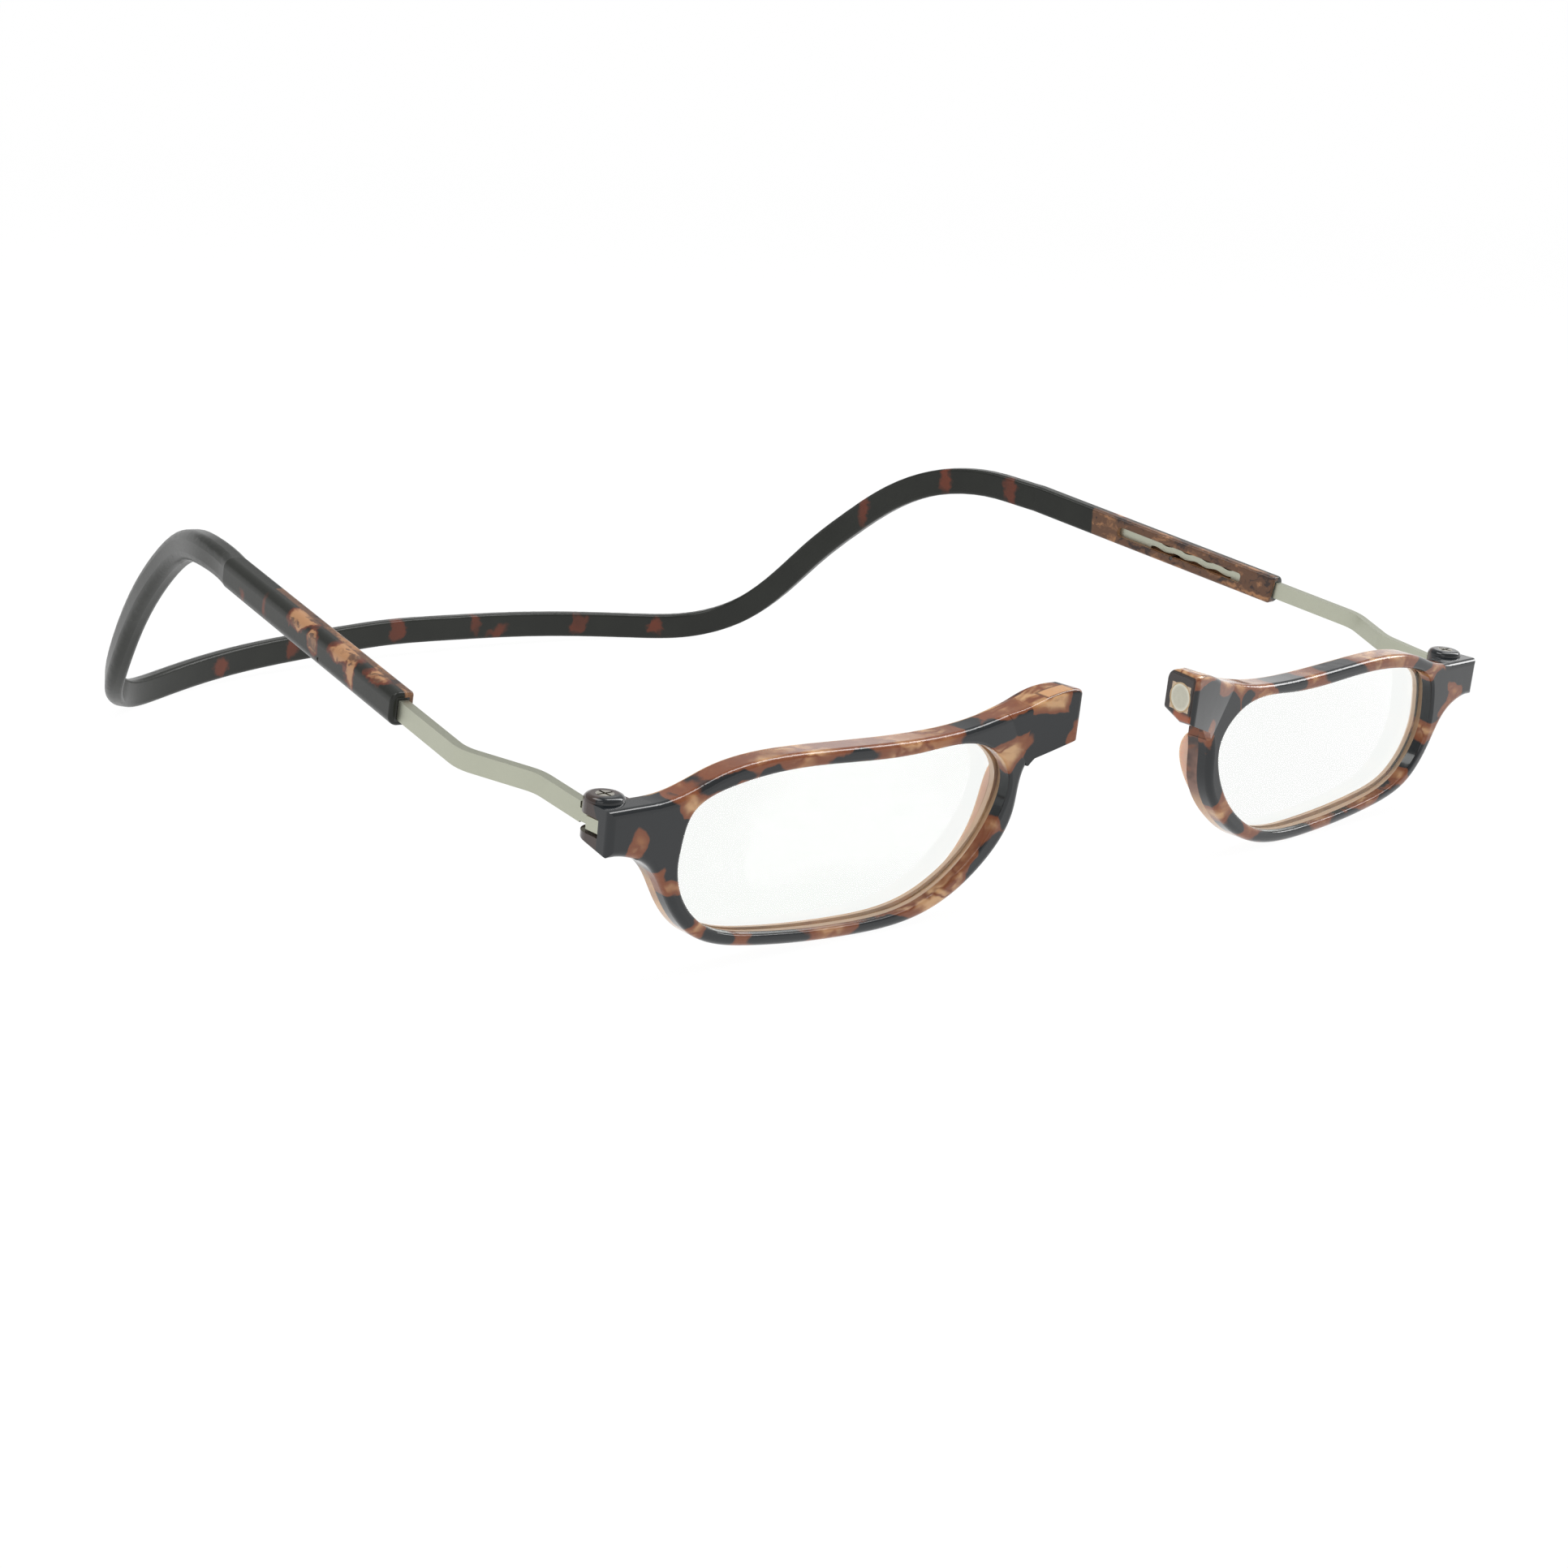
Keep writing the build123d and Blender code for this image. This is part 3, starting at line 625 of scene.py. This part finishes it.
band_tan_flecks = [
    ((-76.0, -14.6, 29.6), (3.0, 2.4, 1.2), 0), ((-77.4, -18.2, 27.6), (3.0, 0.8, 1.4), 0),
    ((-77.2, -25.4, 27.6), (3.0, 2.6, 1.0), 0), ((-78.0, -27.4, 26.0), (3.0, 1.0, 1.5), 0),
    ((-77.6, -33.0, 26.6), (3.0, 1.8, 0.6), 0), ((77.0, -9.0, 30.2), (3.0, 1.6, 0.8), 0),
]
print("band flecks:", len(band_rust_flecks), "rust and", len(band_tan_flecks), "tan")

# %% Where the temple is brown
strap_starts = -5.4
temple_mouth = (77.8, -37.46, 23.48)
temple_run = (-0.1177, 0.9772, 0.1766)
inward = (-0.993, -0.12, 0.0)
inner_half_fade = (0.1, 0.35)
strap_softness = 0.3
channel_reach, channel_softness = 1.45, 0.1
guide_ends, guide_softness = -33.0, 1.0


def temple_zones(finish):
    """Two shares from 0 to 1: the inner half of the hollow temples, and the walls of their channel.

    A point is on the inner half if it lies inward of the temple's axis, and on a channel wall if it is
    nearer to that axis than channel_reach. The axis is the line from temple_mouth along temple_run.
    Both shares end where the strap starts, and the walls begin behind the guide bush.
    """
    x, y, z = finish.parts(finish.point)
    one_side = finish.node("CombineXYZ", {0: finish.math("ABSOLUTE", x), 1: y, 2: z}).outputs["Vector"]
    from_mouth = finish.vector("SUBTRACT", one_side, temple_mouth)
    inner = finish.fade(finish.vector("DOT_PRODUCT", from_mouth, inward), *inner_half_fade)
    hollow = finish.fade(y, strap_starts, strap_starts - strap_softness)
    off_axis = finish.vector("LENGTH", finish.vector("CROSS_PRODUCT", from_mouth, temple_run))
    past_guide = finish.fade(y, guide_ends, guide_ends + guide_softness)
    walls = finish.math("MULTIPLY", finish.math("MULTIPLY", hollow, past_guide),
                        finish.fade(off_axis, channel_reach, channel_reach - channel_softness))
    return finish.math("MULTIPLY", hollow, inner), walls


# %% Band plastic
frayed_push = (2.2, 2.6)
fine_push = (0.6, 0.8)
streak_stretch = (1.0, 0.25, 1.0)
streak_size = 1.3
cloud_size = 6.0
buff_size = 0.35
rust_fleck_fade = (0.3, -0.5)
tan_fleck_fade = (0.15, -0.15)
tan_fleck_rim = (0.55, 0.05)


def band_plastic():
    """Charcoal with frayed flecks, and streaked brown on the inner half of both hollow temples."""
    finish = Finish("band_plastic")
    frayed = pushed(finish, pushed(finish, finish.point, *frayed_push), *fine_push)
    clouds = finish.noise(finish.point, cloud_size, 3.0)
    streaks = finish.noise(finish.vector("MULTIPLY", frayed, streak_stretch), streak_size, 3.0)

    strength = finish.math("MULTIPLY_ADD", finish.noise(finish.point, 9.0, 1.0), 1.4, 0.1)
    rusty = finish.fade(outside(finish, frayed, band_rust_flecks), *rust_fleck_fade)
    tan_gap = outside(finish, frayed, band_tan_flecks)
    tan = finish.blend(finish.fade(streaks, 0.4, 0.55), band_brown, band_tan)
    colour = finish.blend(clouds, band_charcoal, band_sheen)
    colour = finish.blend(finish.math("MULTIPLY", strength, rusty), colour, band_rust)
    colour = finish.blend(finish.fade(tan_gap, *tan_fleck_rim), colour, band_rust)
    colour = finish.blend(finish.fade(tan_gap, *tan_fleck_fade), colour, tan)

    inner_half, walls = temple_zones(finish)
    brown = finish.blend(finish.fade(streaks, 0.5, 0.68), band_brown, band_streak)
    brown = finish.blend(finish.fade(streaks, 0.42, 0.34), brown, umber)
    colour = finish.blend(walls, finish.blend(inner_half, colour, brown), band_streak)

    buffed = finish.noise(finish.point, buff_size, 4.0, 0.7)
    finish.set(base_color=colour, roughness=finish.math("MULTIPLY_ADD", buffed, 0.14, 0.26),
               specular_ior_level=0.25, coat_weight=0.15, coat_roughness=0.2, ior=acetate_ior)
    finish.bump(buffed, 0.004)
    return finish.done()


# %% [markdown]
# ## Lenses and nose pads
#
# A reading lens is clear and polished, and only its ground edge is matt. Light that goes straight in and
# out of a thin lens is hardly bent, so part of the shader lets light pass unchanged, which also keeps
# the floor behind the lens bright. The edge is where the surface faces sideways in the sheet. The normal
# of the object itself is asked for, because it stays the same when the front folds. The pads are the tan
# rear plastic without a pattern.

# %% Lens glass
lens_ior = 1.5
clear_glass = shade(252, 253, 252)
# The ground edge's tan is a painted reflection of the rim's tan groove wall round the lens.
edge_painted_rim_tan = shade(214, 178, 144)
let_through = shade(253, 254, 253)

# The ground edge is rough, blocks light that would bend inside, and loses light that would pass straight.
edge_facing = (0.85, 0.6)
edge_roughness, smear_roughness = 0.5, 0.03
edge_blocks = 0.8
passing_share, passing_lost = 0.92, 0.7


def lens_glass(side):
    """Clear and smooth on both faces, frosted where the surface faces sideways, at the ground edge, which is
    painted tan as a reflection of the rim's groove wall.
    """
    finish = Finish(side + "_lens_glass")
    across = sheet_turn(side) @ Vector((0, 1, 0))
    normal = finish.node("TexCoord", {}).outputs["Normal"]
    facing = finish.math("ABSOLUTE", finish.vector("DOT_PRODUCT", normal, across))
    edge = finish.fade(facing, *edge_facing)
    smear = finish.noise(finish.point, 9.0, 3.0)
    finish.set(base_color=finish.blend(edge, clear_glass, edge_painted_rim_tan),
               roughness=finish.math("MAXIMUM", finish.math("MULTIPLY", edge, edge_roughness),
                                     finish.math("MULTIPLY", smear, smear_roughness)),
               transmission_weight=finish.math("SUBTRACT", 1.0, finish.math("MULTIPLY", edge, edge_blocks)),
               ior=lens_ior)
    straight_through = finish.node("BsdfTransparent", {0: let_through}).outputs[0]
    passing = finish.math("SUBTRACT", passing_share, finish.math("MULTIPLY", edge, passing_lost))
    both = finish.node("MixShader", {0: passing, 1: finish.shader.outputs[0], 2: straight_through})
    finish.tree.links.new(both.outputs[0], finish.output.inputs["Surface"])
    return finish.done()


# %% Pad plastic
def pad_plastic(side):
    """Translucent tan with faint clouds and a softly polished skin."""
    finish = Finish(side + "_pad_plastic")
    clouds = finish.noise(finish.point, 3.0, 3.0)
    finish.set(base_color=finish.blend(clouds, shade(198, 158, 134), shade(212, 178, 156)),
               roughness=0.22, subsurface_weight=0.6, subsurface_scale=millimetre,
               subsurface_radius=(2.0, 1.1, 0.7), coat_weight=0.6, coat_roughness=0.08, ior=acetate_ior)
    finish.bump(finish.noise(finish.point, 0.6), 0.01)
    return finish.done()


# %% [markdown]
# ## Metals
#
# The arms are drawn bar with a satin nickel plate, so their fine lines run along the bar. The hinge screw
# is turned, so its lines are rings round its axis. The magnet's plate is dull and slightly mottled,
# and the bush and the stop pin are brass and dark steel. Each is the same shader with another colour and
# another direction of fine scratches.

# %% Bar, bush and pin
shadow_share = 0.86


def metal(name, colour, roughness, grain, depth):
    """Plated metal whose scratches are noise stretched by grain, in millimetres along X, Y and Z."""
    finish = Finish(name)
    lines = finish.noise(finish.local(finish.point, (0, 0, 0), size=grain), 1.0, 3.0, 0.6)
    cloud = finish.noise(finish.point, 4.0)
    tone = finish.math("MULTIPLY_ADD", lines, 0.5, finish.math("MULTIPLY", cloud, 0.5))
    darker = tuple(shadow_share * value for value in colour[:3]) + (1.0,)
    finish.set(base_color=finish.blend(tone, darker, colour), metallic=1.0,
               roughness=finish.math("MULTIPLY_ADD", lines, 0.16, roughness))
    finish.bump(lines, depth)
    return finish.done()


# %% Screw and magnet
ring_rate = 45.0
along_screw = 1000
# Between these distances from the disc's middle, in millimetres, the plate turns lighter.
paler_from, paler_at = 1.5, 1.95


def turned_steel(side):
    """Fine rings round the hinge axis, as a lathe leaves them: sin(ring_rate * distance from the axis).

    The length of the screw is squeezed by along_screw, so that only the distance from the axis counts.
    """
    finish = Finish(side + "_screw_steel")
    hinge = Vector(joints[side + "_front_hinge"]["pos_m"]) / millimetre
    seen = finish.local(finish.point, hinge, (math.radians(stand_pitch), 0, 0), (1, 1, along_screw))
    rings = finish.math("SINE", finish.math("MULTIPLY", finish.vector("LENGTH", seen), ring_rate))
    finish.set(base_color=shade(188, 184, 172), metallic=1.0,
               roughness=finish.math("MULTIPLY_ADD", rings, 0.04, 0.26))
    finish.bump(rings, 0.004)
    return finish.done()


def magnet_plate(side):
    """Mottled nickel plate that is lighter towards the rim of the disc."""
    finish = Finish(side + "_magnet_plate")
    low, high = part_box(side + "_bridge_magnet")
    out = finish.vector("LENGTH", finish.local(finish.point, (low + high) / 2 / millimetre))
    mottle = finish.noise(finish.point, 0.5, 4.0, 0.65)
    toward_rim = finish.fade(out, paler_from, paler_at)
    dull = finish.blend(mottle, shade(180, 178, 163), shade(206, 204, 190))
    finish.set(base_color=finish.blend(toward_rim, dull, shade(222, 219, 205)), metallic=0.9,
               roughness=finish.math("MULTIPLY_ADD", mottle, 0.25, 0.3))
    finish.bump(mottle, 0.01)
    return finish.done()


# %% Plain plastic
def plain_plastic(name, first, second, roughness, clear=0.0):
    """Two close colours in small clouds, for the guide bush, the magnet's seat and the cement."""
    finish = Finish(name)
    clouds = finish.noise(finish.point, 1.2, 3.0)
    finish.set(base_color=finish.blend(clouds, first, second),
               roughness=finish.math("MULTIPLY_ADD", clouds, 0.15, roughness),
               subsurface_weight=clear, subsurface_scale=millimetre, subsurface_radius=(1.2, 0.7, 0.5))
    finish.bump(clouds, 0.01)
    return finish.done()


# %% [markdown]
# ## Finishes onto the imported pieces
#
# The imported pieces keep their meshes. Only the material in each slot changes, and the names of the pieces
# say which finish they take.

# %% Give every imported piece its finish
nickel = shade(187, 189, 172)
bar_grain = (0.12, 3.0, 0.12)
bush_grain = (0.3, 0.3, 0.05)
pin_grain = (0.4, 0.1, 0.1)
satin = metal("satin_nickel", nickel, 0.3, bar_grain, 0.006)
brass = metal("bush_brass", shade(206, 172, 110), 0.22, bush_grain, 0.004)
pin_steel = metal("pin_steel", shade(92, 90, 88), 0.35, pin_grain, 0.004)
guide_plastic = plain_plastic("guide_plastic", shade(30, 31, 31), shade(44, 45, 45), 0.3)
seat_plastic = plain_plastic("seat_plastic", shade(196, 160, 130), shade(222, 192, 164), 0.25, 0.4)

finishes = {"headband": band_plastic()}
for side in ("left", "right"):
    finishes[side + "_rim"] = tortoise_front(side)
    finishes[side + "_lens"] = lens_glass(side)
    finishes[side + "_nose_pad"] = pad_plastic(side)
    finishes[side + "_temple_arm"] = satin
    finishes[side + "_hinge_bush"] = brass
    finishes[side + "_hinge_screw"] = turned_steel(side)
    finishes[side + "_stop_pin"] = pin_steel
    finishes[side + "_guide_bush"] = guide_plastic
    finishes[side + "_magnet_seat"] = seat_plastic
    finishes[side + "_bridge_magnet"] = magnet_plate(side)

for name, piece in nodes.items():
    for slot in piece.material_slots:
        slot.material = finishes[name]
print("finished pieces:", len(finishes), "of", len(nodes))

# %% [markdown]
# ## Cement round the magnets
#
# Each magnet is glued into its insert, and a little cement is pressed out and sets as a low bead round the
# disc. A torus from the menu would be too even. Here an oval section is carried round a circle on the
# end face, and it swells a little with slow waves, as a hand-laid bead does.

# %% Cement beads
bead_radius = 1.76
bead_width = 0.2
bead_height = 0.07
slow_swell = 0.14
quick_swell = 0.09


def bead(centre, normal, rows=144, columns=12):
    """Point = centre + (radius + half width * swell * cos b) * outward(a) + height * swell * sin b * normal.

    Here a runs round the disc and b round the section. Swell is 1 with three waves and seven waves in a.
    """
    normal = Vector(normal).normalized()
    level = normal.orthogonal().normalized()
    a = np.linspace(0, 2 * np.pi, rows, endpoint=False)[:, None]
    b = np.linspace(0, -2 * np.pi, columns, endpoint=False)[None]
    swell = 1 + slow_swell * np.sin(3 * a + 1) + quick_swell * np.sin(7 * a)
    out = (bead_radius + bead_width / 2 * swell * np.cos(b))[..., None]
    rise = (bead_height * swell * np.sin(b))[..., None]
    outward = np.cos(a)[..., None] * np.array(level) + np.sin(a)[..., None] * np.array(normal.cross(level))
    return np.array(centre) + millimetre * (out * outward + rise * np.array(normal))


cement = plain_plastic("magnet_cement", shade(176, 140, 100), shade(214, 186, 150), 0.2, 0.3)
for mount in frame["record"]["mounts"]:
    side = mount["name"].split("_")[0]
    ring = surface(side + "_magnet_cement", bead(mount["pos_m"], mount["axis"]),
                   wrap_rows=True, wrap_columns=True, material=cement)
    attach(ring, side + "_front")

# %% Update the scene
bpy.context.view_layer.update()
